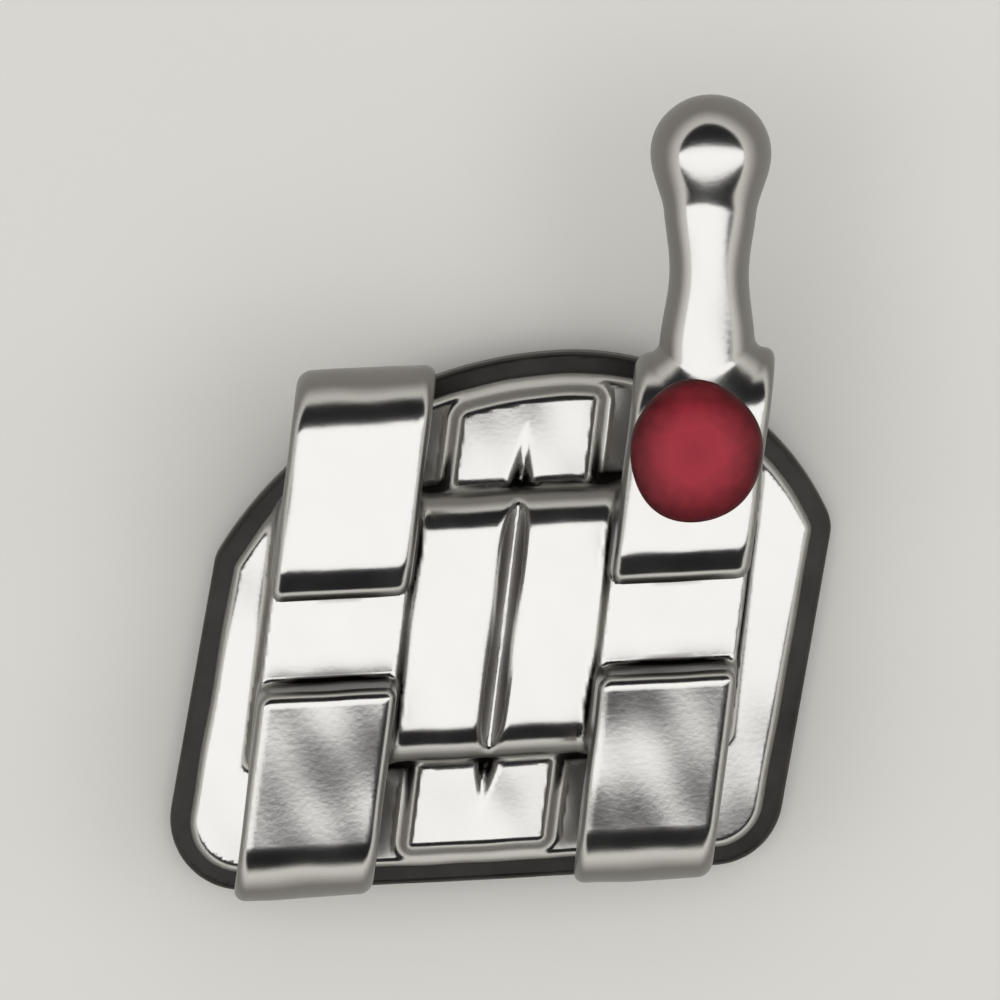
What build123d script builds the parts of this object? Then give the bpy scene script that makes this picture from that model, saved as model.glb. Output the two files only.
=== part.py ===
from build123d import *

import os
from math import cos, radians, sin, sqrt, tan

# Twin tie-wing orthodontic bracket for an upper left canine, in millimetres and degrees.
# +X runs along the archwire slot to the distal side, +Y points to the gum and +Z away from the tooth.
# The origin is the base point: where the tooth's face meets the base under the middle of the slot.

# Archwire slot and the tooth's prescription
SLOT_WIDTH = 0.56  # nominal 0.022 inch
SLOT_DEPTH = 0.71  # nominal 0.028 inch
SLOT_MOUTH_RADIUS = 0.10
IN_OUT = 0.95  # slot floor above the base point
CROWN_TIP = 13.0  # lean of the base's sides, along the tooth's long axis
CROWN_TORQUE = -2.0  # turn of the tooth's face against the slot at the base point

# Tie wings and the pedestal that carries them
WING_GINGIVAL = 1.74  # slot's middle to the gingival tips
WING_OCCLUSAL = 1.65  # slot's middle to the occlusal tips
WING_WIDTH = 0.90
WING_GAP = 1.27  # between the mesial and the distal pair
WING_LEAN = 10.0  # lean of the wings' sides
WING_GINGIVAL_FALL = 0.06  # drop of the crown from slot to tip
WING_OCCLUSAL_FALL = 0.14
WING_ROOT_DEPTH = 0.56  # crown down to the roof of the ligature groove
WING_TIP_THICKNESS = 0.60  # crown to lip at the tip
WING_NOSE_RADIUS = 0.38
WING_LIP_RADIUS = 0.16
WING_CORNER_RADIUS = 0.12  # in plan
WING_EDGE_RADIUS = 0.09  # along the crown's sides
WING_EDGE_OVERLAP = 0.003  # rounding past the wing's side, so that it crosses it cleanly
GROOVE_RADIUS = 0.16
PEDESTAL_LENGTH = 1.70

# Saddle between the wing pairs, with the scribe line along the tooth's axis
SADDLE_DROP = 0.08  # saddle below the slot floor
SADDLE_END_RADIUS = 0.14
SCRIBE_WIDTH = 0.17
SCRIBE_DEPTH = 0.11

# Tongues on the flange at both ends of the saddle, each with an aiming notch
TONGUE_WIDTH = 0.95
TONGUE_HEIGHT = 0.12
TONGUE_INSET = 0.22  # tongue's end behind the pad's edge
NOTCH_WIDTH = 0.17
NOTCH_DEPTH = 0.09
NOTCH_RUN = 0.34

# Bonding base: flange of the body and mesh pad under it
PAD_WIDTH = 3.98
PAD_SHIFT = 0.05  # pad's middle to the distal side of the slot's middle
PAD_OCCLUSAL = 1.68  # slot's middle to the occlusal edge
PAD_GINGIVAL = 1.69  # slot's middle to the top of the gingival arch
PAD_SHOULDER = 0.48  # slot's middle to the start of the arch
PAD_CORNER_RADIUS = 0.45
PAD_SHOULDER_RADIUS = 0.25
PAD_THICKNESS = 0.25
PAD_RIM = 0.12  # pad showing round the flange
FLANGE_THICKNESS = 0.14
FLANGE_RADIUS = 0.05  # on the flange's upper edge
TOOTH_RADIUS_ACROSS = 6.5  # tooth's curve from mesial to distal
TOOTH_RADIUS_ALONG = 16.0  # tooth's curve from gum to biting edge

# Woven mesh on the pad's tooth side
MESH_PITCH = 0.3175  # 80 wires to the inch
MESH_WIRE = 0.12
MESH_DEPTH = 0.12
MESH_MARGIN = 0.10  # plain rim round the mesh

# Ball hook on the disto-gingival wing
HOOK_ROOT_RADIUS = 0.31
HOOK_WAIST_RADIUS = 0.26
HOOK_BALL_RADIUS = 0.39
HOOK_REACH = 1.25  # wing tip to the ball's centre
HOOK_LEAN = 4.0
HOOK_DROP = 0.36  # hook's axis below the crown

# Painted identification dot
DOT_DIAMETER = 0.88
DOT_EDGE = 0.05  # steep edge of the drop above the wing
DOT_DOME = 0.08  # rise of its domed face
DOT_SETBACK = 0.62  # dot's centre behind the wing tip

# Levels above the base point, and places worked out from the sizes
CROWN = IN_OUT + SLOT_DEPTH
SADDLE = IN_OUT - SADDLE_DROP
FLANGE_TOP = PAD_THICKNESS + FLANGE_THICKNESS
TONGUE_TOP = FLANGE_TOP + TONGUE_HEIGHT
PEDESTAL_Y = PEDESTAL_LENGTH / 2
WING_MIDDLE = (WING_GAP + WING_WIDTH) / 2
CREST_Y = TOOTH_RADIUS_ALONG * sin(radians(CROWN_TORQUE))  # where the tooth's face is highest
CREST_Z = TOOTH_RADIUS_ALONG * (1 - cos(radians(CROWN_TORQUE)))
BELOW_BASE = -TOOTH_RADIUS_ACROSS / 4  # safely under every curved face
FAR = 2 * (PAD_WIDTH + PAD_OCCLUSAL + PAD_GINGIVAL)  # safely past every edge


def leaning(x, y, lean):
    """Point of the plan that stands at x on the slot's line, carried to y along the lean."""
    return (x + y * tan(radians(lean)), y)


def leaning_prism(width, lean):
    """Tall upright prism over a strip of the given width that leans with the tooth."""
    half = width / 2
    corners = [(-half, -FAR), (half, -FAR), (half, FAR), (-half, FAR)]
    return upright(make_face(Polyline([leaning(x, y, lean) for x, y in corners], close=True)))


def upright(outline):
    """Tall upright prism over a plan outline."""
    return extrude(outline, FAR, both=True)


def along_slot(profile):
    """Side profile, drawn as (y, z), carried along the slot."""
    return extrude(Plane.YZ * profile, FAR, both=True)


def rounded(profile, corners, radius):
    """Profile with the corners nearest to the given points rounded."""
    for corner in corners:
        nearest = profile.vertices().sort_by_distance(corner)[0]
        profile = fillet(nearest, radius)
    return profile


def both_ways(y, z):
    """A point of the side profile on the gingival side and its twin on the occlusal side."""
    return [(y, z), (-y, z)]


def face_level(y, height):
    """Level of the raised tooth face on the tooth's axis, at y."""
    radius = TOOTH_RADIUS_ALONG + height
    return CREST_Z + height - radius + sqrt(radius**2 - (y - CREST_Y) ** 2)


def tooth_form(height):
    """Solid under the tooth's doubly curved face raised by the given height.

    An arc along the tooth is turned about the tooth's long axis, which leans with the crown tip.
    """
    reach = FAR / 3
    start, end = CREST_Y - reach, CREST_Y + reach
    axis_level = CREST_Z - TOOTH_RADIUS_ACROSS
    crest = TOOTH_RADIUS_ACROSS + height
    edge = face_level(end, height) - axis_level
    inner = TOOTH_RADIUS_ACROSS / 2
    section = make_face(
        [
            ThreePointArc((start, edge), (CREST_Y, crest), (end, edge)),
            Polyline([(end, edge), (end, inner), (start, inner), (start, edge)]),
        ]
    )
    sweep = 120
    form = Rot(0, -sweep / 2, 0) * revolve(Plane.YZ * section, Axis.Y, sweep)
    return Rot(0, 0, -CROWN_TIP) * Pos(0, 0, axis_level) * form


def pad_outline():
    """Plan of the pad: leaning sides, a rounded occlusal edge and an arch centred on the tooth's axis."""
    mesial, distal = PAD_SHIFT - PAD_WIDTH / 2, PAD_SHIFT + PAD_WIDTH / 2
    mesial_low = leaning(mesial, -PAD_OCCLUSAL, CROWN_TIP)
    distal_low = leaning(distal, -PAD_OCCLUSAL, CROWN_TIP)
    mesial_shoulder = leaning(mesial, PAD_SHOULDER, CROWN_TIP)
    distal_shoulder = leaning(distal, PAD_SHOULDER, CROWN_TIP)
    arch_top = leaning(PAD_SHIFT, PAD_GINGIVAL, CROWN_TIP)
    outline = make_face(
        [
            Polyline([mesial_shoulder, mesial_low, distal_low, distal_shoulder]),
            TangentArc(arch_top, distal_shoulder, tangent=(1, 0)),
            TangentArc(arch_top, mesial_shoulder, tangent=(-1, 0)),
        ]
    )
    outline = rounded(outline, [mesial_low, distal_low], PAD_CORNER_RADIUS)
    return rounded(outline, [mesial_shoulder, distal_shoulder], PAD_SHOULDER_RADIUS)


def curved_plate(outline, bottom, top):
    """Plate of the given outline between two raised tooth faces."""
    return (tooth_form(top) & upright(outline)) - tooth_form(bottom)


def mesh_gaps(outline):
    """Gaps between the wires of the mesh, as square prisms that lie whole inside the outline."""
    gap = MESH_PITCH - MESH_WIRE
    count = int(PAD_WIDTH / MESH_PITCH) + 2
    squares = []
    for place in GridLocations(MESH_PITCH, MESH_PITCH, count, count):
        square = Rot(0, 0, -CROWN_TIP) * place * Rectangle(gap, gap)
        if all(outline.face().is_inside(tuple(corner)) for corner in square.vertices()):
            squares.append(square.face())
    return upright(Compound(squares))


def mesh_base():
    """Curved bonding pad: a foil with the mesh under it, whose gaps are open to the tooth."""
    outline = pad_outline()
    foil = curved_plate(outline, MESH_DEPTH, PAD_THICKNESS)
    mesh = curved_plate(outline, 0, MESH_DEPTH) - mesh_gaps(offset(outline, -MESH_MARGIN))
    return foil + mesh


def wing_profile(tip, way, fall):
    """Side profile of one wing, from its neck beside the slot to its nose and the lip over the groove."""
    slot = SLOT_WIDTH / 2
    mouth = (way * slot, CROWN)
    nose = (way * tip, CROWN - fall)
    lip = (way * tip, CROWN - fall - WING_TIP_THICKNESS)
    roof = (way * PEDESTAL_Y, CROWN - WING_ROOT_DEPTH)
    neck = [(way * PEDESTAL_Y, BELOW_BASE), (way * slot, BELOW_BASE)]
    profile = make_face(Polyline([mouth, nose, lip, roof] + neck, close=True))
    profile = rounded(profile, [mouth], SLOT_MOUTH_RADIUS)
    profile = rounded(profile, [nose], WING_NOSE_RADIUS)
    profile = rounded(profile, [lip], WING_LIP_RADIUS)
    return rounded(profile, [roof], GROOVE_RADIUS)


def wing_plan(middle, tip, way):
    """Plan of one wing: a leaning block from the slot's wall to the tip, with rounded corners."""
    near, far = way * SLOT_WIDTH / 2, way * tip
    mesial, distal = middle - WING_WIDTH / 2, middle + WING_WIDTH / 2
    corners = [(mesial, near), (distal, near), (distal, far), (mesial, far)]
    corners = [leaning(x, y, WING_LEAN) for x, y in corners]
    return rounded(make_face(Polyline(corners, close=True)), corners, WING_CORNER_RADIUS)


def wing_crown(middle, tip, way, fall):
    """Bar under the wing's falling crown, with both of its long upper edges rounded."""
    slope = fall / (tip - SLOT_WIDTH / 2)
    top = CROWN + slope * SLOT_WIDTH / 2
    half = WING_WIDTH / 2 + WING_EDGE_OVERLAP
    mesial, distal = middle - half, middle + half
    upper = [(mesial, top), (distal, top)]
    section = make_face(Polyline(upper + [(distal, BELOW_BASE), (mesial, BELOW_BASE)], close=True))
    section = rounded(section, upper, WING_EDGE_RADIUS)
    run = Vector(*leaning(0, way * tip, WING_LEAN), -slope * tip)
    return extrude(Plane.XZ * section, 2 * run.length, dir=run)


def tie_wing(middle, tip, way, fall):
    """One tie wing, where its side profile, its plan and its rounded crown agree."""
    profile = along_slot(wing_profile(tip, way, fall))
    return profile & upright(wing_plan(middle, tip, way)) & wing_crown(middle, tip, way, fall)


def pedestal_profile(top):
    """Side profile of the block that the wings stand on, up to the given level."""
    return make_face(Polyline(both_ways(-PEDESTAL_Y, BELOW_BASE) + both_ways(PEDESTAL_Y, top), close=True))


def wing_pair(middle):
    """Mesial or distal post: two wings on a pedestal whose top is the slot's floor."""
    pedestal = along_slot(pedestal_profile(IN_OUT)) & Pos(middle, 0, 0) * leaning_prism(WING_WIDTH, WING_LEAN)
    gingival = tie_wing(middle, WING_GINGIVAL, 1, WING_GINGIVAL_FALL)
    occlusal = tie_wing(middle, WING_OCCLUSAL, -1, WING_OCCLUSAL_FALL)
    return pedestal + [gingival, occlusal]


def saddle():
    """Low bridge between the posts, reaching to the middle of each."""
    profile = rounded(pedestal_profile(SADDLE), both_ways(PEDESTAL_Y, SADDLE), SADDLE_END_RADIUS)
    return along_slot(profile) & leaning_prism(2 * WING_MIDDLE, WING_LEAN)


def tongue():
    """Raised strip of the flange on the tooth's axis, which shows past both ends of the saddle."""
    plan = upright(offset(pad_outline(), -TONGUE_INSET)) & leaning_prism(TONGUE_WIDTH, WING_LEAN)
    return tooth_form(TONGUE_TOP) & plan


def scribe_line(start, reach, level, width, depth, rise):
    """V groove on the leaning middle line, from y = start over the reach, with a floor that rises."""
    section = make_face(Polyline([(0, -depth), (width, depth), (-width, depth)], close=True))
    x, y = leaning(0, start, WING_LEAN)
    run = Vector(*leaning(0, reach, WING_LEAN), rise)
    return extrude(Pos(x, y, level) * (Plane.XZ * section), run.length, dir=run)


def scribe_lines():
    """Groove along the saddle, and a notch that runs out on each tongue."""
    lines = [scribe_line(-PEDESTAL_LENGTH, 2 * PEDESTAL_LENGTH, SADDLE, SCRIBE_WIDTH, SCRIBE_DEPTH, 0)]
    for start, reach in ((PEDESTAL_Y, NOTCH_RUN), (-PEDESTAL_Y, -NOTCH_RUN)):
        level = face_level(start, TONGUE_TOP)
        lines.append(scribe_line(start, reach, level, NOTCH_WIDTH, NOTCH_DEPTH, NOTCH_DEPTH))
    return lines


def ball_hook():
    """Waisted post with a ball end, turned about its own axis, standing out of the disto-gingival wing."""
    post_end = HOOK_REACH - sqrt(HOOK_BALL_RADIUS**2 - HOOK_ROOT_RADIUS**2)
    ball_top = HOOK_REACH + HOOK_BALL_RADIUS
    inside = (HOOK_ROOT_RADIUS, -WING_NOSE_RADIUS)
    root = (HOOK_ROOT_RADIUS, 0)
    waist = (HOOK_WAIST_RADIUS, post_end / 2)
    neck = (HOOK_ROOT_RADIUS, post_end)
    section = make_face(
        [
            Polyline([(0, ball_top), (0, -WING_NOSE_RADIUS), inside, root]),
            ThreePointArc(root, waist, neck),
            ThreePointArc(neck, (HOOK_BALL_RADIUS, HOOK_REACH), (0, ball_top)),
        ]
    )
    x, y = leaning(WING_MIDDLE, WING_GINGIVAL, WING_LEAN)
    return Pos(x, y, CROWN - HOOK_DROP) * Rot(0, 0, -HOOK_LEAN) * revolve(section, Axis.Y)


def bracket_body():
    """Wings, saddle, flange, tongues and hook as one casting, hollowed to sit on the pad."""
    flange = tooth_form(FLANGE_TOP) & upright(offset(pad_outline(), -PAD_RIM))
    flange = fillet(flange.faces().sort_by(Axis.Z)[-1].edges(), FLANGE_RADIUS)
    body = flange + tongue() + saddle() + ball_hook()
    body += [wing_pair(middle) for middle in (-WING_MIDDLE, WING_MIDDLE)]
    body -= scribe_lines()
    return body - tooth_form(PAD_THICKNESS)


def id_dot(body):
    """Round drop of paint with a domed face, wetting the wing and the root of the hook."""
    half = DOT_DIAMETER / 2
    skirt = WING_NOSE_RADIUS / 2
    top = DOT_EDGE + DOT_DOME
    section = make_face(
        [
            Polyline([(0, top), (0, -skirt), (half, -skirt), (half, DOT_EDGE)]),
            TangentArc((0, top), (half, DOT_EDGE), tangent=(1, 0)),
        ]
    )
    x, y = leaning(WING_MIDDLE, WING_GINGIVAL - DOT_SETBACK, WING_LEAN)
    return Pos(x, y, CROWN - WING_GINGIVAL_FALL / 2) * revolve(Plane.XZ * section, Axis.Z) - body


body = bracket_body()

os.makedirs("parts", exist_ok=True)
export_step(body, "parts/bracket_body.step")
export_step(mesh_base(), "parts/mesh_base.step")
export_step(id_dot(body), "parts/id_dot.step")
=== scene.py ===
import bpy
import numpy as np
from mathutils import Matrix, Vector


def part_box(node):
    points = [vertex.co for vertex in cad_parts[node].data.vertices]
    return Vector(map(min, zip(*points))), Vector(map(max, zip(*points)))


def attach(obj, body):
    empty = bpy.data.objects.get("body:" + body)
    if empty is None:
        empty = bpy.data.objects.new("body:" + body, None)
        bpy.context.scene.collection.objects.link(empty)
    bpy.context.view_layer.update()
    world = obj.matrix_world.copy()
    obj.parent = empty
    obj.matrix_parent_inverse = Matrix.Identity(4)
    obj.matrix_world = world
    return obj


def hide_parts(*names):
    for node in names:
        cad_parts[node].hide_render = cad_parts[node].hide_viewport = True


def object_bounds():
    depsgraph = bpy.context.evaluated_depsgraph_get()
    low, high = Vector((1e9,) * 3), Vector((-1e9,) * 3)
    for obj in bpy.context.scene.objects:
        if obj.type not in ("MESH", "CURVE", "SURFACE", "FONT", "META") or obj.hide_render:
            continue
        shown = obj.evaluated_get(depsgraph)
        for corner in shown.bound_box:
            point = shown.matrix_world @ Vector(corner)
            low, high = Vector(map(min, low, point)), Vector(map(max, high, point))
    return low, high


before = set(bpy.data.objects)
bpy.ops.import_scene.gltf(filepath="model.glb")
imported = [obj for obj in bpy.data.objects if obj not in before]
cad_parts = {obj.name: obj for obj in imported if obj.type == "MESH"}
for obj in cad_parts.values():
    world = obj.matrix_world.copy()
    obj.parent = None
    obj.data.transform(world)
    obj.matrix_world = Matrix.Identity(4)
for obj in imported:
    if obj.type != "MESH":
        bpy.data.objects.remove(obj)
cad_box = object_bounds()

# Bonding foil
# A thin stainless steel foil pressed to the tooth's double curve, cut to a leaning arch in plan.
# Its tooth side has a shallow recess that the woven wire lies in, and the body is brazed on top.
MM = 0.001  # sizes are in millimetres, and this turns them to metres
PAD_WIDTH = 3.98
PAD_SHIFT = 0.05
PAD_OCCLUSAL = 1.68
PAD_GINGIVAL = 1.69
PAD_SHOULDER = 0.48
PAD_CORNER_RADIUS = 0.45
PAD_SHOULDER_RADIUS = 0.25
PAD_THICKNESS = 0.25
PAD_EDGE_RADIUS = 0.03
MESH_DEPTH = 0.12
MESH_MARGIN = 0.10
CROWN_TIP = np.radians(13.0)
CROWN_TORQUE = np.radians(-2.0)
TOOTH_RADIUS_ACROSS = 6.5
TOOTH_RADIUS_ALONG = 16.0
CREST_Y = TOOTH_RADIUS_ALONG * np.sin(CROWN_TORQUE)
CREST_Z = TOOTH_RADIUS_ALONG * (1 - np.cos(CROWN_TORQUE))
TOOTH_AXIS_Z = CREST_Z - TOOTH_RADIUS_ACROSS
ARC_OFFSET = TOOTH_RADIUS_ACROSS - TOOTH_RADIUS_ALONG


def tooth_plan(x, y):
    """Plan point turned by the crown's tip, so that its second part runs along the tooth."""
    return x * np.cos(CROWN_TIP) - y * np.sin(CROWN_TIP), x * np.sin(CROWN_TIP) + y * np.cos(CROWN_TIP)


def above_tooth(x, y, z):
    """Height over the tooth's face: an arc along the tooth, turned about the tooth's long axis."""
    across, along = tooth_plan(x, y)
    from_axis = np.hypot(across, z - TOOTH_AXIS_Z)
    return np.hypot(along - CREST_Y, from_axis - ARC_OFFSET) - TOOTH_RADIUS_ALONG


def rounded_cut(radius, *fields):
    """Overlap of several signed distances, with the edges between them rounded to the radius.

    Past the rounding it is the greatest distance, and inside it the length of what each has over -radius.
    """
    fields = np.stack(np.broadcast_arrays(*fields))
    reach = np.sqrt((np.maximum(fields + radius, 0) ** 2).sum(0))
    return np.minimum(fields.max(0), -radius) + reach


def plan_corner(radius, one, other, cosine):
    """Overlap of two signed distances whose outward directions meet at a cosine, rounded to a true arc.

    Inside the wedge of the two directions it is the distance to the arc's centre less the radius.
    """
    a, b = one + radius, other + radius
    wedge = (a > cosine * b) & (b > cosine * a)
    from_centre = np.sqrt(np.maximum(a**2 + b**2 - 2 * cosine * a * b, 0) / (1 - cosine**2))
    return np.where(wedge, from_centre - radius, np.maximum(one, other))


def pad_outline(x, y):
    """Signed distance to the pad's plan: two leaning sides, the occlusal edge and an arch of two arcs."""
    slope = np.tan(CROWN_TIP)
    from_middle = (x - PAD_SHIFT - y * slope) * np.cos(CROWN_TIP)
    occlusal = -PAD_OCCLUSAL - y
    arch_x = PAD_SHIFT + PAD_GINGIVAL * slope
    rise = PAD_GINGIVAL - PAD_SHOULDER
    corners = []
    for way in (-1, 1):
        side = way * from_middle - PAD_WIDTH / 2 * np.cos(CROWN_TIP)
        corners.append(plan_corner(PAD_CORNER_RADIUS, side, occlusal, way * np.sin(CROWN_TIP)))
        span = PAD_SHIFT + way * PAD_WIDTH / 2 + PAD_SHOULDER * slope - arch_x
        radius = (span**2 + rise**2) / (2 * rise)
        arch = np.hypot(x - arch_x, np.maximum(y - PAD_GINGIVAL + radius, 0)) - radius
        meeting = way * (span * np.cos(CROWN_TIP) - (radius - rise) * np.sin(CROWN_TIP)) / radius
        corner = plan_corner(PAD_SHOULDER_RADIUS, side, arch, meeting)
        corners.append(np.where(way * (x - arch_x) > 0, corner, side))
    return np.max(corners, 0)


def foil(x, y, z):
    """Signed distance to the foil: the pad's outline between two heights, less the recess for the wire."""
    height = above_tooth(x, y, z)
    outline = pad_outline(x, y)
    plate = rounded_cut(PAD_EDGE_RADIUS, outline, height - PAD_THICKNESS, -height)
    recess = np.maximum(outline + MESH_MARGIN, height - MESH_DEPTH)
    return rounded_cut(PAD_EDGE_RADIUS, plate, -recess)


GRID = 0.025
GRID_MARGIN = 3
SETTLING_ROUNDS = 3
PULLS = 4
NUDGE = 0.0001


def slopes(field, points):
    """Gradient of a field at points, by central differences."""
    columns = []
    for axis in range(3):
        step = np.zeros((1, 3))
        step[0, axis] = NUDGE
        columns.append((field(*(points + step).T) - field(*(points - step).T)) / (2 * NUDGE))
    return np.stack(columns, 1)


def settled(values):
    """Field values on a grid, with no square of the grid whose corners lie in and out by turns.

    Such a square would join four quads at one edge, so its shallowest corner goes to the other side.
    """
    corners = np.array([(0, 0), (1, 0), (1, 1), (0, 1)])
    for axis in [0, 1, 2] * SETTLING_ROUNDS:
        grid = np.moveaxis(values, axis, 0)
        rows, columns = grid.shape[1] - 1, grid.shape[2] - 1
        square = np.stack([grid[:, a : a + rows, b : b + columns] for a, b in corners])
        inside = square < 0
        mixed = (inside[0] == inside[2]) & (inside[1] == inside[3]) & (inside[0] != inside[1])
        layer, row, column = np.nonzero(mixed)
        shallow = corners[np.abs(square[:, layer, row, column]).argmin(0)]
        grid[layer, row + shallow[:, 0], column + shallow[:, 1]] *= -1
    return values


def level_surface(field, low, high, step):
    """Points, outward normals and quads of the surface where a signed distance is zero.

    Each cell of a grid that the surface crosses gives one point, at the mean of the crossings on its edges,
    and each grid edge that is crossed gives one quad between the four cells round it. The points are then
    drawn on to the surface along the field's gradient, which also gives the normals.
    """
    sides = [np.arange(a, b + step, step) for a, b in zip(low, high)]
    values = settled(field(*np.meshgrid(*sides, indexing="ij")))
    inside = values < 0
    shape = np.array(values.shape) - 1
    corners = [np.array(c) for c in np.ndindex(2, 2, 2)]

    def at(grid, corner):
        """The grid's values at one corner of every cell."""
        return grid[tuple(slice(c, c + n) for c, n in zip(corner, shape))]

    total = np.zeros((3, *shape))
    count = np.zeros(shape)
    for start in corners:
        for axis in range(3):
            if start[axis]:
                continue
            end = start + np.eye(3, dtype=int)[axis]
            crossed = at(inside, start) != at(inside, end)
            gap = np.where(crossed, at(values, start) - at(values, end), 1)
            share = np.where(crossed, at(values, start) / gap, 0)
            count += crossed
            for part in range(3):
                total[part] += crossed * start[part] + (share if part == axis else 0)
    active = count > 0
    number = np.full(shape, -1)
    number[active] = np.arange(active.sum())
    place = np.stack(np.nonzero(active), 1) + (total[:, active] / count[active]).T
    points = np.array(low) + step * place
    for _ in range(PULLS):
        slope = slopes(field, points)
        shift = field(*points.T)[:, None] * slope / (slope**2).sum(1, keepdims=True)
        points -= np.clip(shift, -step, step)
    slope = slopes(field, points)
    normals = slope / np.linalg.norm(slope, axis=1, keepdims=True)
    quads = []
    for axis in range(3):
        second, third = (axis + 1) % 3, (axis + 2) % 3
        ahead = np.moveaxis(inside, (axis, second, third), (0, 1, 2))
        cells = np.moveaxis(number, (axis, second, third), (0, 1, 2))
        here, there = ahead[:-1, 1:-1, 1:-1], ahead[1:, 1:-1, 1:-1]
        ring = [cells[:, :-1, :-1], cells[:, 1:, :-1], cells[:, 1:, 1:], cells[:, :-1, 1:]]
        for found, order in ((here & ~there, ring), (there & ~here, ring[::-1])):
            quads.append(np.stack([cell[found] for cell in order], 1))
    return points, normals, np.concatenate(quads)


def new_piece(name, points, faces, normals=None):
    """Object at the origin with a mesh of the given points in millimetres, quads and point normals."""
    mesh = bpy.data.meshes.new(name)
    mesh.vertices.add(len(points))
    mesh.vertices.foreach_set("co", (np.asarray(points) * MM).astype(np.float32).ravel())
    mesh.loops.add(faces.size)
    mesh.loops.foreach_set("vertex_index", faces.astype(np.int32).ravel())
    mesh.polygons.add(len(faces))
    mesh.polygons.foreach_set("loop_start", np.arange(0, faces.size, faces.shape[1], dtype=np.int32))
    mesh.polygons.foreach_set("use_smooth", np.ones(len(faces), bool))
    mesh.update(calc_edges=True)
    mesh.validate()
    if normals is not None:
        mesh.normals_split_custom_set_from_vertices(normals.tolist())
    piece = bpy.data.objects.new(name, mesh)
    bpy.context.scene.collection.objects.link(piece)
    return piece


def new_material(name, piece):
    """Node tree and shader of a new material, which is given to the piece."""
    material = bpy.data.materials.new(name)
    material.use_nodes = True
    piece.data.materials.append(material)
    return material.node_tree, material.node_tree.nodes["Principled BSDF"]


def add(tree, kind, links=(), **settings):
    """Node of a kind, with settings by property or socket name and links as (source socket, socket name)."""
    node = tree.nodes.new(kind)
    for name, value in settings.items():
        if hasattr(node, name):
            setattr(node, name, value)
        else:
            node.inputs[name.replace("_", " ")].default_value = value
    for source, name in links:
        tree.links.new(source, node.inputs[name])
    return node


def colour(code):
    """Linear colour of an sRGB hex value."""
    parts = np.array([int(code[i : i + 2], 16) for i in (1, 3, 5)]) / 255
    linear = np.where(parts <= 0.04045, parts / 12.92, ((parts + 0.055) / 1.055) ** 2.4)
    return (*linear.tolist(), 1)


def node_box(name):
    """A node's lowest and highest corner in millimetres, with room for the grid round it."""
    low, high = (np.array(corner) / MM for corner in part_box(name))
    return low - GRID_MARGIN * GRID, high + GRID_MARGIN * GRID


points, normals, quads = level_surface(foil, *node_box("mesh_base"), GRID)
pad_foil = new_piece("pad_foil", points, quads, normals)
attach(pad_foil, "root")
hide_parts("mesh_base")

# Rolled stainless steel foil, dulled by the brazing oven: a dark grey metal with a soft, cloudy gloss.
tree, shader = new_material("brazed_foil_steel", pad_foil)
shader.inputs["Metallic"].default_value = 1
place = add(tree, "ShaderNodeTexCoord").outputs["Object"]
CLOUD_SIZE = 0.30
clouds = add(tree, "ShaderNodeTexNoise", [(place, "Vector")], Scale=1 / (CLOUD_SIZE * MM), Detail=4.0)
tint = add(tree, "ShaderNodeValToRGB", [(clouds.outputs["Fac"], "Fac")])
tint.color_ramp.elements[0].color = colour("#343230")
tint.color_ramp.elements[1].color = colour("#5A5855")
tree.links.new(tint.outputs["Color"], shader.inputs["Base Color"])
gloss = add(tree, "ShaderNodeMapRange", [(clouds.outputs["Fac"], "Value")], To_Min=0.34, To_Max=0.5)
tree.links.new(gloss.outputs["Result"], shader.inputs["Roughness"])

# Woven wire
# Stainless steel wire in plain weave, eighty wires to the inch, sintered into the foil's recess.
# The bonding adhesive keys into the gaps between the wires.
MESH_PITCH = 0.3175
WIRE_RADIUS = 0.042
WEAVE_SWING = MESH_DEPTH / 2 - WIRE_RADIUS
WIRE_STEPS = 8
WIRE_SIDES = 10
SHORTEST_WIRE = 2 * MESH_PITCH


def tooth_level(across, along, height):
    """Level of the tooth's face raised by a height, at a point of the turned plan."""
    from_axis = ARC_OFFSET + np.sqrt((TOOTH_RADIUS_ALONG + height) ** 2 - (along - CREST_Y) ** 2)
    return TOOTH_AXIS_Z + np.sqrt(from_axis**2 - across**2)


def wire_tube(number, lengthwise):
    """One wire's points: rings round a path that swings over and under the crossing wires as a cosine.

    It ends inside the foil's recess, and a wire that would be too short there is None.
    """
    run = np.arange(-PAD_WIDTH, PAD_WIDTH, MESH_PITCH / WIRE_STEPS)
    side = np.full_like(run, number * MESH_PITCH)
    across, along = (side, run) if lengthwise else (run, side)
    cosine = np.cos(CROWN_TIP)
    sine = np.sin(CROWN_TIP)
    x = across * cosine + along * sine
    y = along * cosine - across * sine
    kept = pad_outline(x, y) < WIRE_RADIUS - MESH_MARGIN
    if kept.sum() * MESH_PITCH / WIRE_STEPS < SHORTEST_WIRE:
        return None
    swing = WEAVE_SWING * (-1) ** (number + lengthwise) * np.cos(np.pi * run / MESH_PITCH)
    z = tooth_level(across, along, MESH_DEPTH / 2 + swing)
    path = np.stack([x, y, z], 1)[kept]
    turn = np.linspace(0, 2 * np.pi, WIRE_SIDES, endpoint=False)
    sideways = np.array([cosine, -sine, 0]) if lengthwise else np.array([-sine, -cosine, 0])
    ring = np.cos(turn)[:, None] * sideways + np.sin(turn)[:, None] * np.array([0, 0, 1])
    return path[:, None] + WIRE_RADIUS * ring


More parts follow.
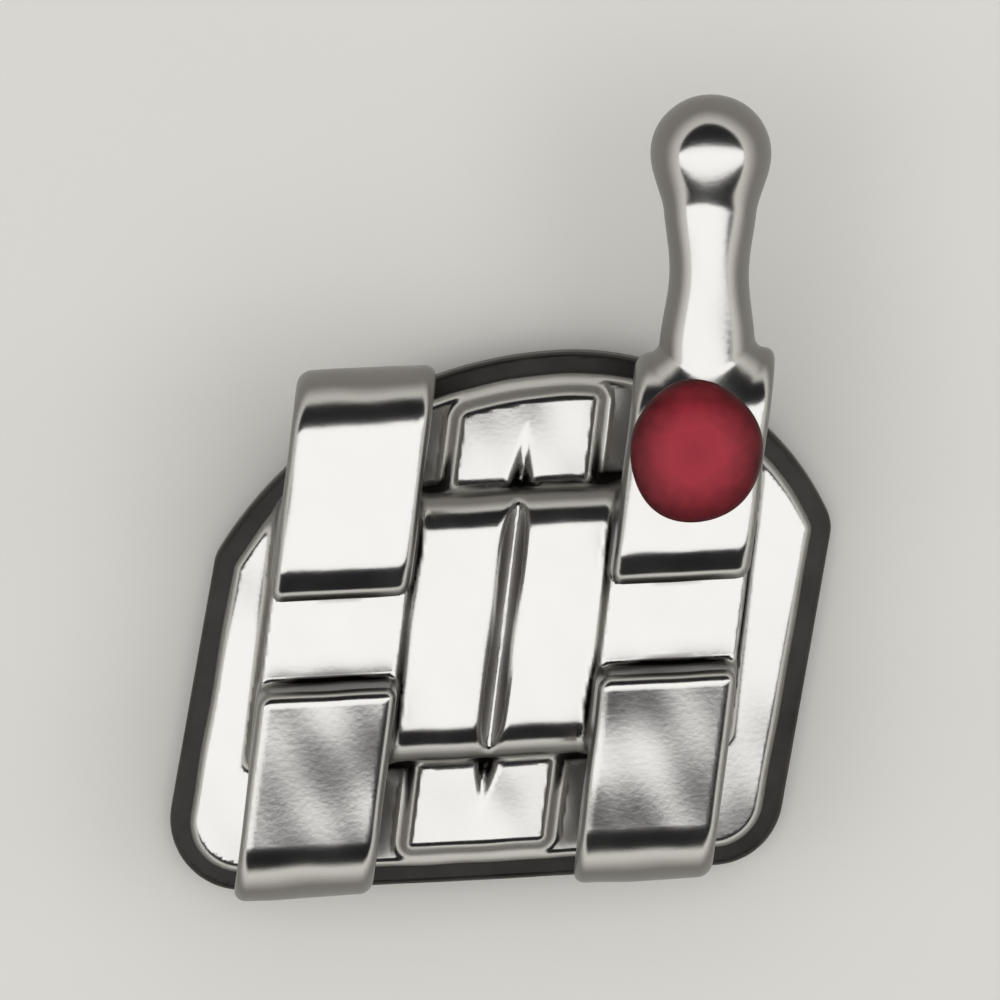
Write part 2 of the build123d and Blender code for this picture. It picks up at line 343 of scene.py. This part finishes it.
def tube_quads(rows, columns):
    """Quads of a tube whose rings follow each other as rows of points, with flat ends of strips across."""
    row, column = np.meshgrid(np.arange(rows - 1), np.arange(columns), indexing="ij")
    here = row * columns + column
    ahead = row * columns + (column + 1) % columns
    wall = np.stack([ahead, here, here + columns, ahead + columns], -1).reshape(-1, 4)
    near = np.arange(columns // 2 - 1)
    far = columns - 1 - near
    end = np.stack([near, near + 1, far - 1, far], 1)
    return np.concatenate([wall, end, end[:, ::-1] + (rows - 1) * columns])


wire_points = []
wire_quads = []
used = 0
wire_reach = int(PAD_WIDTH / MESH_PITCH)
for lengthwise in (0, 1):
    for number in range(-wire_reach, wire_reach + 1):
        tube = wire_tube(number, lengthwise)
        if tube is None:
            continue
        wire_points.append(tube.reshape(-1, 3))
        wire_quads.append(tube_quads(*tube.shape[:2]) + used)
        used += len(wire_points[-1])
woven_wire = new_piece("woven_wire", np.concatenate(wire_points), np.concatenate(wire_quads))
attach(woven_wire, "root")
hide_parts("mesh_base")

# Drawn wire after sintering: a paler, rougher grey than the foil.
tree, shader = new_material("sintered_wire_steel", woven_wire)
shader.inputs["Metallic"].default_value = 1
shader.inputs["Roughness"].default_value = 0.42
place = add(tree, "ShaderNodeTexCoord").outputs["Object"]
GRAIN_SIZE = 0.02
grain = add(tree, "ShaderNodeTexNoise", [(place, "Vector")], Scale=1 / (GRAIN_SIZE * MM), Detail=2.0)
tint = add(tree, "ShaderNodeValToRGB", [(grain.outputs["Fac"], "Fac")])
tint.color_ramp.elements[0].color = colour("#8E8A84")
tint.color_ramp.elements[1].color = colour("#B4B0A9")
tree.links.new(tint.outputs["Color"], shader.inputs["Base Color"])

# Bracket body
# One stainless steel piece, injection moulded and sintered, with flange, tongues, saddle, four tie wings and
# a ball hook. Tumbling has rounded its edges and left long, shallow waves in its polished faces.
SLOT_WIDTH = 0.56
SLOT_DEPTH = 0.71
IN_OUT = 0.95
CROWN = IN_OUT + SLOT_DEPTH
WING_GINGIVAL = 1.74
WING_OCCLUSAL = 1.65
WING_WIDTH = 0.90
WING_GAP = 1.27
WING_MIDDLE = (WING_GAP + WING_WIDTH) / 2
WING_LEAN = np.radians(10.0)
WING_GINGIVAL_FALL = 0.06
WING_OCCLUSAL_FALL = 0.14
WING_ROOT_DEPTH = 0.56
WING_TIP_THICKNESS = 0.60
WING_NOSE_RADIUS = 0.38
WING_LIP_RADIUS = 0.16
WING_EDGE_RADIUS = 0.09
BEVEL_RUN = 0.20
BEVEL_SLOPE = 0.36
BEVEL_SOFTNESS = 0.04
GROOVE_RADIUS = 0.16
PEDESTAL_LENGTH = 1.70
PEDESTAL_Y = PEDESTAL_LENGTH / 2
PEDESTAL_EDGE_RADIUS = 0.04
SADDLE_DROP = 0.08
SADDLE = IN_OUT - SADDLE_DROP
SADDLE_END_RADIUS = 0.14
SCRIBE_WIDTH = 0.17
SCRIBE_DEPTH = 0.11
PAD_RIM = 0.12
FLANGE_THICKNESS = 0.14
FLANGE_TOP = PAD_THICKNESS + FLANGE_THICKNESS
FLANGE_RADIUS = 0.07
TONGUE_WIDTH = 0.95
TONGUE_HEIGHT = 0.12
TONGUE_TOP = FLANGE_TOP + TONGUE_HEIGHT
TONGUE_INSET = 0.22
TONGUE_RADIUS = 0.07
NOTCH_WIDTH = 0.17
NOTCH_DEPTH = 0.09
NOTCH_RUN = 0.34
CAST_FILLET = 0.075
CUT_EDGE_RADIUS = 0.035
CUT_FLOOR_RADIUS = 0.02
BRAZE_SINK = 0.06
HOOK_ROOT_RADIUS = 0.31
HOOK_WAIST_RADIUS = 0.26
HOOK_BALL_RADIUS = 0.39
HOOK_BALL_FRONT = 0.365
HOOK_WEAR_RADIUS = 0.04
HOOK_REACH = 1.25
HOOK_RISE = 0.05
HOOK_LEAN = np.radians(4.0)
HOOK_DROP = 0.36
HOOK_FILLET = 0.08


def blended(radius, one, other):
    """Union of two signed distances with a concave fillet of the radius where they meet."""
    reach = np.sqrt(np.maximum(radius - one, 0) ** 2 + np.maximum(radius - other, 0) ** 2)
    return np.maximum(np.minimum(one, other), radius) - reach


def from_lean(x, y):
    """Distance along the slot from the leaning middle line."""
    return x - y * np.tan(WING_LEAN)


def vee_cut(offset, below, width, depth):
    """Signed distance to a V groove with a rounded floor: it opens to its width over its depth."""
    steep = 2 * depth / width
    return (np.hypot(offset, CUT_FLOOR_RADIUS) * steep - below) / np.hypot(1, steep)


def bevel(run):
    """How deep a bevel has cut this far past its start: a hyperbola that turns into a straight slope."""
    return BEVEL_SLOPE * (run + np.hypot(run, BEVEL_SOFTNESS)) / 2


def tie_wing(x, y, z, tip, way, fall):
    """Signed distance to a gingival or occlusal pair of wings: crown, nose, lip and groove carried across.

    The crown falls to the tip in a straight line, and the gingival pair's is bevelled at the slot's mouth.
    """
    out = way * y
    slot = SLOT_WIDTH / 2
    crown = z - CROWN + fall * (out - slot) / (tip - slot)
    if way > 0:
        crown = crown + bevel(slot + BEVEL_RUN - out)
    under_root = CROWN - WING_ROOT_DEPTH
    under_tip = CROWN - fall - WING_TIP_THICKNESS
    underside = z - under_root - (under_tip - under_root) * (out - PEDESTAL_Y) / (tip - PEDESTAL_Y)
    groove = rounded_cut(GROOVE_RADIUS, PEDESTAL_Y - out, underside)
    profile = rounded_cut(WING_NOSE_RADIUS, crown, out - tip)
    profile = rounded_cut(WING_LIP_RADIUS, profile, -groove)
    from_middle = np.abs(np.abs(from_lean(x, y)) - WING_MIDDLE)
    sides = (from_middle - WING_WIDTH / 2) * np.cos(WING_LEAN)
    return rounded_cut(WING_EDGE_RADIUS, profile, sides, slot - out)


def hook(x, y, z):
    """Signed distance to the hook: a rising post with a round end inside a ball with a worn front.

    The post's width follows a cosine, narrowest at the waist, and its height stays the same.
    """
    from_x = x - WING_MIDDLE - WING_GINGIVAL * np.tan(WING_LEAN)
    from_y = y - WING_GINGIVAL
    along = from_x * np.sin(HOOK_LEAN) + from_y * np.cos(HOOK_LEAN)
    aside = from_x * np.cos(HOOK_LEAN) - from_y * np.sin(HOOK_LEAN)
    lift = z - CROWN + HOOK_DROP
    half = (HOOK_REACH - np.sqrt(HOOK_BALL_RADIUS**2 - HOOK_ROOT_RADIUS**2)) / 2
    from_waist = np.clip((along - half) / half, -1, 1)
    width = 1 - (1 - HOOK_WAIST_RADIUS / HOOK_ROOT_RADIUS) * (1 + np.cos(np.pi * from_waist)) / 2
    past = np.maximum(along - HOOK_REACH, 0)
    raised = lift - HOOK_RISE * (along - past) / HOOK_REACH
    post = np.sqrt((aside / width) ** 2 + raised**2 + past**2) - HOOK_ROOT_RADIUS
    post = np.maximum(post, -WING_NOSE_RADIUS - along)
    ball = np.sqrt(aside**2 + lift**2 + (along - HOOK_REACH) ** 2) - HOOK_BALL_RADIUS
    return blended(HOOK_FILLET, post, rounded_cut(HOOK_WEAR_RADIUS, ball, lift - HOOK_BALL_FRONT))


WAVE_HEIGHT = 0.0012
WAVE_LENGTHS = np.linspace(0.35, 0.9, 9)
WAVE_SEED = 23
draw = np.random.default_rng(WAVE_SEED)
wave_ways = draw.normal(size=(len(WAVE_LENGTHS), 3))
wave_ways *= (2 * np.pi / WAVE_LENGTHS / np.linalg.norm(wave_ways, axis=1))[:, None]
wave_starts = draw.uniform(0, 2 * np.pi, len(WAVE_LENGTHS))


def tumbled(x, y, z):
    """What tumbling has taken off a face: a sum of sines in all directions, shifted to hardly ever add."""
    waves = zip(wave_ways, wave_starts)
    total = sum(np.sin(x * a + y * b + z * c + start) for (a, b, c), start in waves)
    return WAVE_HEIGHT * (total + len(WAVE_LENGTHS) / 2)


def casting(x, y, z):
    """Signed distance to the whole body: its forms blended into each other, cut, and ended on the foil."""
    height = above_tooth(x, y, z)
    outline = pad_outline(x, y)
    lean = from_lean(x, y)
    out = np.abs(y)
    narrow = np.cos(WING_LEAN)
    flange = rounded_cut(FLANGE_RADIUS, outline + PAD_RIM, height - FLANGE_TOP)
    strip = (np.abs(lean) - TONGUE_WIDTH / 2) * narrow
    tongue = rounded_cut(TONGUE_RADIUS, strip, outline + TONGUE_INSET, height - TONGUE_TOP)
    notch_floor = TONGUE_TOP - NOTCH_DEPTH * (1 - (out - PEDESTAL_Y) / NOTCH_RUN)
    notch = vee_cut(lean, height - notch_floor, NOTCH_WIDTH, NOTCH_DEPTH)
    tongue = rounded_cut(CUT_EDGE_RADIUS, tongue, -notch)
    bridge = (np.abs(lean) - WING_MIDDLE) * narrow
    ridge = z - SADDLE + bevel(out - PEDESTAL_Y + BEVEL_RUN)
    saddle = rounded_cut(SADDLE_END_RADIUS, out - PEDESTAL_Y, bridge, ridge)
    scribe = vee_cut(lean, z - SADDLE + SCRIBE_DEPTH, SCRIBE_WIDTH, SCRIBE_DEPTH)
    saddle = rounded_cut(CUT_EDGE_RADIUS, saddle, -scribe)
    post = (np.abs(np.abs(lean) - WING_MIDDLE) - WING_WIDTH / 2) * narrow
    posts = rounded_cut(PEDESTAL_EDGE_RADIUS, out - PEDESTAL_Y, post, z - IN_OUT)
    posts = blended(CUT_EDGE_RADIUS, posts, tie_wing(x, y, z, WING_GINGIVAL, 1, WING_GINGIVAL_FALL))
    posts = blended(CUT_EDGE_RADIUS, posts, tie_wing(x, y, z, WING_OCCLUSAL, -1, WING_OCCLUSAL_FALL))
    body = blended(CAST_FILLET, posts, saddle)
    body = blended(CAST_FILLET, body, blended(CAST_FILLET, flange, tongue))
    body = blended(HOOK_FILLET, body, hook(x, y, z))
    return np.maximum(body + tumbled(x, y, z), PAD_THICKNESS - BRAZE_SINK - height)


CREVICE_REACH = 0.35
CREVICE_SLANT = np.radians(55.0)
CREVICE_WAYS = 8
CREVICE_START = 0.55
CREVICE_FULL = 0.64
SIDE_TURN = 0.6
FRONT_TURN = 0.9
SIDE_POLISH_AND_SHADE = 0.4
FACING_X = 0.9


def polish_and_painted_shade(field, points, normals):
    """How far the tumbling media got to each point, from 0 in a crevice to 1 on an open front face. The same
    share
    sets painted shade in the colour: crevices are painted near black and sides a darker grey than the front.

    Feelers go out at a slant all round the normal, and each is blocked by what the field falls short of its
    own height. Sides get a part of the share, which rises smoothly with the normal's turn to the front.
    """
    guide = np.where(np.abs(normals[:, :1]) < FACING_X, [[1.0, 0, 0]], [[0, 1.0, 0]])
    first = np.cross(normals, guide)
    first /= np.linalg.norm(first, axis=1, keepdims=True)
    second = np.cross(normals, first)
    rise = CREVICE_REACH * np.cos(CREVICE_SLANT)
    spread = CREVICE_REACH * np.sin(CREVICE_SLANT)
    blocked = 0
    for turn in np.linspace(0, 2 * np.pi, CREVICE_WAYS, endpoint=False):
        feeler = points + rise * normals + spread * (np.cos(turn) * first + np.sin(turn) * second)
        blocked = blocked + np.clip(1 - field(*feeler.T) / rise, 0, 1) / CREVICE_WAYS
    open_share = 1 - np.clip((blocked - CREVICE_START) / (CREVICE_FULL - CREVICE_START), 0, 1)
    front = np.clip((normals[:, 2] - SIDE_TURN) / (FRONT_TURN - SIDE_TURN), 0, 1)
    front = front**2 * (3 - 2 * front)
    return open_share * (SIDE_POLISH_AND_SHADE + (1 - SIDE_POLISH_AND_SHADE) * front)


points, normals, quads = level_surface(casting, *node_box("bracket_body"), GRID)
cast_body = new_piece("cast_body", points, quads, normals)
# This share also carries painted shade into the body's colour.
polish_and_shade_share = cast_body.data.attributes.new("polish_and_painted_shade", "FLOAT", "POINT")
polish_and_shade_share.data.foreach_set("value", polish_and_painted_shade(casting, points, normals).astype(np.float32))
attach(cast_body, "root")
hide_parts("bracket_body")

# Sintered stainless steel, tumbled: a mirror-bright grey on the front, with a fine pitted grain.
# Sides are duller and painted a darker grey as painted shade; crevices that the tumbling media can't reach
# keep a rough sintered skin, painted near black as painted shade.
tree, shader = new_material("tumbled_cast_steel", cast_body)
shader.inputs["Metallic"].default_value = 1
place = add(tree, "ShaderNodeTexCoord").outputs["Object"]
polish_and_shade = add(tree, "ShaderNodeAttribute", attribute_name="polish_and_painted_shade").outputs["Fac"]
# Sintered pores are about a hundredth of a millimetre wide, and are drawn coarser so that they show.
PIT_SIZE = 0.035
pits = add(tree, "ShaderNodeTexNoise", [(place, "Vector")], Scale=1 / (PIT_SIZE * MM), Detail=3.0)
clouds = add(tree, "ShaderNodeTexNoise", [(place, "Vector")], Scale=1 / (CLOUD_SIZE * MM), Detail=5.0)
# Painted shade in the colour: near black in crevices, a darker grey on sides, bright only on open front
# faces.
painted_shade_ramp = add(tree, "ShaderNodeValToRGB", [(polish_and_shade, "Fac")])
painted_shade_ramp.color_ramp.elements[0].color = colour("#171514")
painted_shade_ramp.color_ramp.elements[1].color = colour("#EEECE8")
side = painted_shade_ramp.color_ramp.elements.new(SIDE_POLISH_AND_SHADE)
side.color = colour("#8C8986")
cloudy = add(tree, "ShaderNodeMapRange", [(clouds.outputs["Fac"], "Value")], To_Min=0.88, To_Max=1.0)
tint = add(tree, "ShaderNodeVectorMath", [(painted_shade_ramp.outputs["Color"], 0)], operation="SCALE")
tree.links.new(cloudy.outputs["Result"], tint.inputs["Scale"])
tree.links.new(tint.outputs["Vector"], shader.inputs["Base Color"])
gloss = add(tree, "ShaderNodeMapRange", [(clouds.outputs["Fac"], "Value")], To_Min=0.12, To_Max=0.24)
finish = add(tree, "ShaderNodeMapRange", [(polish_and_shade, "Value")], To_Min=0.5)
tree.links.new(gloss.outputs["Result"], finish.inputs["To Max"])
tree.links.new(finish.outputs["Result"], shader.inputs["Roughness"])
PIT_DEPTH = 0.0008
pit_height = pits.outputs["Fac"]
relief = add(tree, "ShaderNodeBump", [(pit_height, "Height")], Strength=0.5, Distance=PIT_DEPTH * MM)
tree.links.new(relief.outputs["Normal"], shader.inputs["Normal"])

# Marking dot
# A drop of dark red paint on the disto-gingival wing, which tells a left bracket from a right one.
# It wetted the crown, ran over the rounded edges and cured with a soft dome.
DOT_WIDTH = 0.84
DOT_LENGTH = 0.92
DOT_EDGE = 0.05
DOT_DOME = 0.08
DOT_SETBACK = 0.62
DOT_EDGE_RADIUS = 0.035
DOT_SINK = 0.03
DOT_DRIP = 0.15
DOT_GRID = 0.016
DOT_WOBBLES = ((2, 0.018, 0.7), (3, 0.014, 2.1), (5, 0.008, 0.0))
DOT_X = WING_MIDDLE + (WING_GINGIVAL - DOT_SETBACK) * np.tan(WING_LEAN)
DOT_Y = WING_GINGIVAL - DOT_SETBACK


def dot_reach(x, y):
    """Distance from the drop's middle as a share of its rim: an oval with a few sines round it."""
    across = x - DOT_X
    along = y - DOT_Y
    turn = np.arctan2(along, across)
    rim = 1 + sum(size * np.sin(waves * turn + start) for waves, size, start in DOT_WOBBLES)
    return np.hypot(across / (DOT_WIDTH / 2), along / (DOT_LENGTH / 2)) / rim


def paint_drop(x, y, z):
    """Signed distance to the drop: a coat on the body, thickest in the middle, inside the rim."""
    reach = dot_reach(x, y)
    depth = casting(x, y, z)
    coat = DOT_EDGE + DOT_DOME * (1 - np.minimum(reach, 1) ** 2)
    rim = (reach - 1) * DOT_WIDTH / 2
    top = rounded_cut(DOT_EDGE_RADIUS, rim, depth - coat)
    return np.maximum(np.maximum(top, -DOT_SINK - depth), CROWN - DOT_DRIP - z)


points, normals, quads = level_surface(paint_drop, *node_box("id_dot"), DOT_GRID)
marking_drop = new_piece("marking_drop", points, quads, normals)
rim_share = marking_drop.data.attributes.new("rim_share", "FLOAT", "POINT")
rim_share.data.foreach_set("value", dot_reach(points[:, 0], points[:, 1]).astype(np.float32))
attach(marking_drop, "root")
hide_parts("id_dot")

# Cured solvent paint: a satin dark red, with painted shade darkening it towards the rim of the dome and a
# painted lighter ring of reflection part way out.
tree, shader = new_material("cured_red_paint", marking_drop)
shader.inputs["Roughness"].default_value = 0.45
shader.inputs["IOR"].default_value = 1.5
shader.inputs["Specular IOR Level"].default_value = 0.25
share = add(tree, "ShaderNodeAttribute", attribute_name="rim_share").outputs["Fac"]
place = add(tree, "ShaderNodeTexCoord").outputs["Object"]
PIGMENT_SIZE = 0.09
SHEEN_RING_SHARE = 0.42
pigment = add(tree, "ShaderNodeTexNoise", [(place, "Vector")], Scale=1 / (PIGMENT_SIZE * MM), Detail=4.0)
stray = add(tree, "ShaderNodeMapRange", [(pigment.outputs["Fac"], "Value")], To_Min=-0.15, To_Max=0.15)
rim_shade_and_tone = add(tree, "ShaderNodeMath", [(share, 0), (stray.outputs["Result"], 1)], operation="ADD")
# Painted light: dark towards the rim as shade on the dome's falling edge, and a lighter ring as a painted
# reflection; the pigment noise is the paint's own uneven tone.
ramp = add(tree, "ShaderNodeValToRGB", [(rim_shade_and_tone.outputs["Value"], "Fac")])
ramp.color_ramp.elements[0].color = colour("#932130")
ramp.color_ramp.elements[1].color = colour("#3C060C")
painted_sheen_ring = ramp.color_ramp.elements.new(SHEEN_RING_SHARE)
painted_sheen_ring.color = colour("#9E2A37")
tree.links.new(ramp.outputs["Color"], shader.inputs["Base Color"])

# Floor
# A plain pale sheet under the bracket, as wide as any view needs.
FLOOR_HALF = 600
floor_z = cad_box[0][2]
corners = [(-1, -1), (1, -1), (1, 1), (-1, 1)]
floor_mesh = bpy.data.meshes.new("floor")
floor_points = [(a * FLOOR_HALF * MM, b * FLOOR_HALF * MM, floor_z) for a, b in corners]
floor_mesh.from_pydata(floor_points, [], [(0, 1, 2, 3)])
floor = bpy.data.objects.new("floor", floor_mesh)
bpy.context.scene.collection.objects.link(floor)

# Uncoated board: a matt, slightly warm off-white.
_, shader = new_material("pale_sheet", floor)
shader.inputs["Base Color"].default_value = colour("#DEDDD8")
shader.inputs["Roughness"].default_value = 0.9

# Light
# A long lamp across the bracket that its polished faces mirror, a wide fill for the floor and the paint,
# and a room that is pale at the horizon and dim above it.
LAMP_LENGTH = 280
LAMP_WIDTH = 43
LAMP_PLACE = (0, -2.2, 80)
LAMP_GLOW = 1.15
FILL_SIDE = 300
FILL_PLACE = (0, 0, 200)
FILL_GLOW = 1.2
WALLS_TOP = 0.4
CEILING_START = 0.56


def soft_lamp(name, length, width, place, glow):
    """Lamp that shines straight down; its power is the wanted radiance times pi times its area."""
    data = bpy.data.lights.new(name, "AREA")
    data.shape = "RECTANGLE"
    data.size = length * MM
    data.size_y = width * MM
    data.energy = glow * np.pi * data.size * data.size_y
    lamp = bpy.data.objects.new(name, data)
    lamp.location = Vector(place) * MM
    lamp.visible_camera = False
    bpy.context.scene.collection.objects.link(lamp)
    return lamp


soft_lamp("long_lamp", LAMP_LENGTH, LAMP_WIDTH, LAMP_PLACE, LAMP_GLOW)
# A mirrored fill would wash out the polished faces, so it lights without showing in them.
fill = soft_lamp("fill", FILL_SIDE, FILL_SIDE, FILL_PLACE, FILL_GLOW)
fill.visible_glossy = False

world = bpy.data.worlds.new("room")
bpy.context.scene.world = world
world.use_nodes = True
tree = world.node_tree
direction = add(tree, "ShaderNodeTexCoord").outputs["Generated"]
rise = add(tree, "ShaderNodeSeparateXYZ", [(direction, "Vector")]).outputs["Z"]
walls = add(tree, "ShaderNodeValToRGB", [(rise, "Fac")])
walls.color_ramp.elements[0].position = WALLS_TOP
walls.color_ramp.elements[0].color = colour("#DEDDD8")
walls.color_ramp.elements[1].position = CEILING_START
walls.color_ramp.elements[1].color = colour("#1E1E20")
tree.links.new(walls.outputs["Color"], tree.nodes["Background"].inputs["Color"])

# Camera
# Almost straight above, leaning to the gum's side, with a long lens.
CAMERA_TILT = np.radians(4.5)
CAMERA_ROLL = np.radians(3.0)
CAMERA_DISTANCE = 150
VIEW_WIDTH = 6.4
VIEW_MIDDLE = (0.02, 0.82, 0.9)
camera_data = bpy.data.cameras.new("camera")
camera_data.lens = camera_data.sensor_width * CAMERA_DISTANCE / VIEW_WIDTH
camera_data.clip_start = MM
camera = bpy.data.objects.new("camera", camera_data)
back = Vector((0, np.sin(CAMERA_TILT), np.cos(CAMERA_TILT)))
right = Vector((np.cos(CAMERA_ROLL), -np.sin(CAMERA_ROLL), 0))
right = (right - right.dot(back) * back).normalized()
up = back.cross(right)
turn = Matrix((right, up, back)).transposed().to_4x4()
camera.matrix_world = Matrix.Translation((Vector(VIEW_MIDDLE) + back * CAMERA_DISTANCE) * MM) @ turn
bpy.context.scene.collection.objects.link(camera)
bpy.context.scene.camera = camera
bpy.context.scene.view_settings.view_transform = "Standard"
